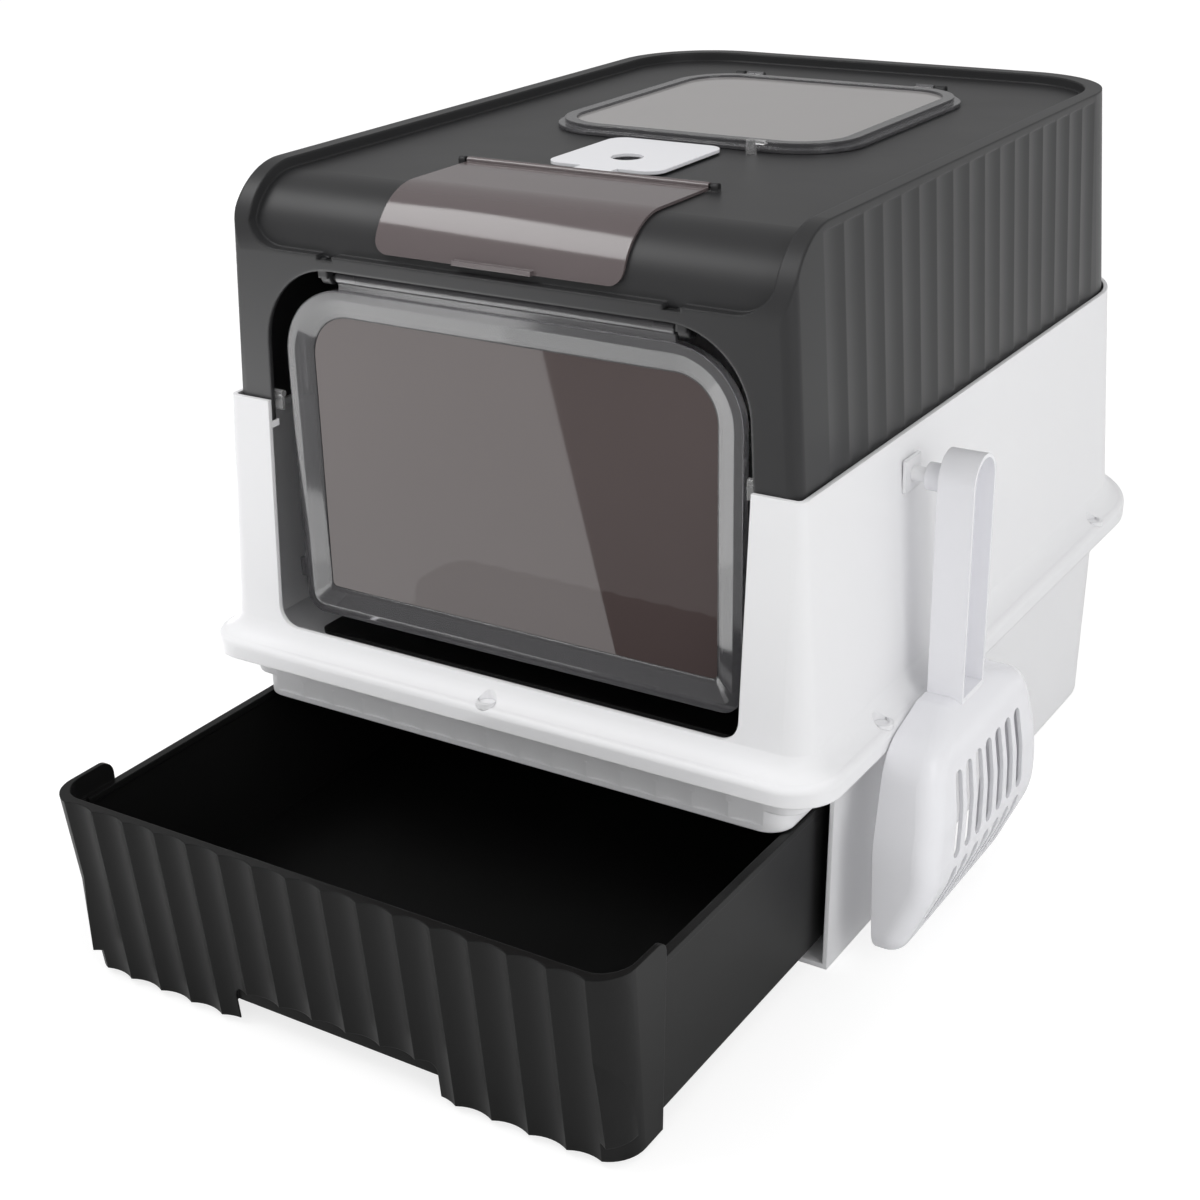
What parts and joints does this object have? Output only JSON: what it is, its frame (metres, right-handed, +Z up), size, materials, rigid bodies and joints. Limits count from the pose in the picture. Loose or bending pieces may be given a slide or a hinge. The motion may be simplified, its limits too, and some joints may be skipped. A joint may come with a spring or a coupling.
{
  "type": "drawer litter box",
  "caption": "Three-storey enclosed cat litter box with pull-out drawer, swing front door, hinged top lid, visor flap, deodoriser cup and slotted scoop on a hook.",
  "frame": {"origin": "on the floor, at the middle of the base's footprint", "axes": "+X to the right seen from the front, +Y to the back, +Z up; the drawer slides along Y and the drawer front faces -Y"},
  "size_m": [0.436, 0.6821, 0.4117],
  "materials": {
    "white_pp": "satin moulded polypropylene",
    "black_pp": "satin moulded polypropylene",
    "grey_pp": "satin moulded polypropylene",
    "smoke_clear": "clear smoked styrene",
    "brown_clear": "clear brown styrene",
    "grey_clear": "clear grey styrene",
    "smoke_brown": "clear smoked styrene",
    "white_abs": "gloss moulded ABS",
    "clear_clip": "clear styrene",
    "dark_pin": "moulded",
    "carbon": "pressed carbon"
  },
  "bodies": {
    "base": {"base_tub": "white_pp"},
    "drawer": {"drawer": "black_pp"},
    "mid": {"mid_frame": "white_pp", "rim_clips": "white_pp", "scoop_hook": "white_pp"},
    "cover": {"cover_shell": "grey_pp", "cover_snap_clips": "clear_clip"},
    "door": {"door_frame": "smoke_clear", "door_pane": "brown_clear", "door_hinge_pins": "dark_pin"},
    "lid": {"top_lid_frame": "smoke_clear", "top_lid_pane": "grey_clear", "lid_hinge_pins": "dark_pin"},
    "latch": {"lid_latch": "clear_clip"},
    "visor": {"visor": "smoke_brown", "visor_hinge_pins": "dark_pin"},
    "freshener": {"deodoriser_plate": "white_abs", "deodoriser_cup": "white_abs", "carbon_puck": "carbon"},
    "pedal": {"litter_pedal": "black_pp"},
    "scoop": {"scoop": "white_abs"}
  },
  "joints": [
    {"name": "drawer_slide", "type": "slide", "parent": "base", "child": "drawer", "axis": [0, 1, 0], "range_m": [-0.15, 0.161]},
    {"name": "mid_lift", "type": "slide", "parent": "base", "child": "mid", "axis": [0, 0, 1], "range_m": [0, 0.2]},
    {"name": "cover_lift", "type": "slide", "parent": "mid", "child": "cover", "axis": [0, 0, 1], "range_m": [0, 0.2]},
    {"name": "door_swing", "type": "hinge", "parent": "cover", "child": "door", "pos_m": [0, -0.231, 0.357], "axis": [-1, 0, 0], "range_deg": [-80, 80]},
    {"name": "lid_open", "type": "hinge", "parent": "cover", "child": "lid", "pos_m": [0, 0.159, 0.4069], "axis": [-1, 0, 0], "range_deg": [0, 110]},
    {"name": "latch_turn", "type": "hinge", "parent": "cover", "child": "latch", "pos_m": [0.05, -0.056, 0.408], "axis": [0, 0, 1], "range_deg": [0, 90]},
    {"name": "visor_lift", "type": "hinge", "parent": "cover", "child": "visor", "pos_m": [0, -0.148, 0.4062], "axis": [-1, 0, 0], "range_deg": [0, 95]},
    {"name": "freshener_lift", "type": "slide", "parent": "cover", "child": "freshener", "axis": [0, 0, 1], "range_m": [0, 0.1]},
    {"name": "pedal_lift", "type": "slide", "parent": "mid", "child": "pedal", "axis": [0, 0, 1], "range_m": [0, 0.1]},
    {"name": "scoop_off", "type": "slide", "parent": "mid", "child": "scoop", "axis": [1, 0, 0], "range_m": [0, 0.06]}
  ]
}
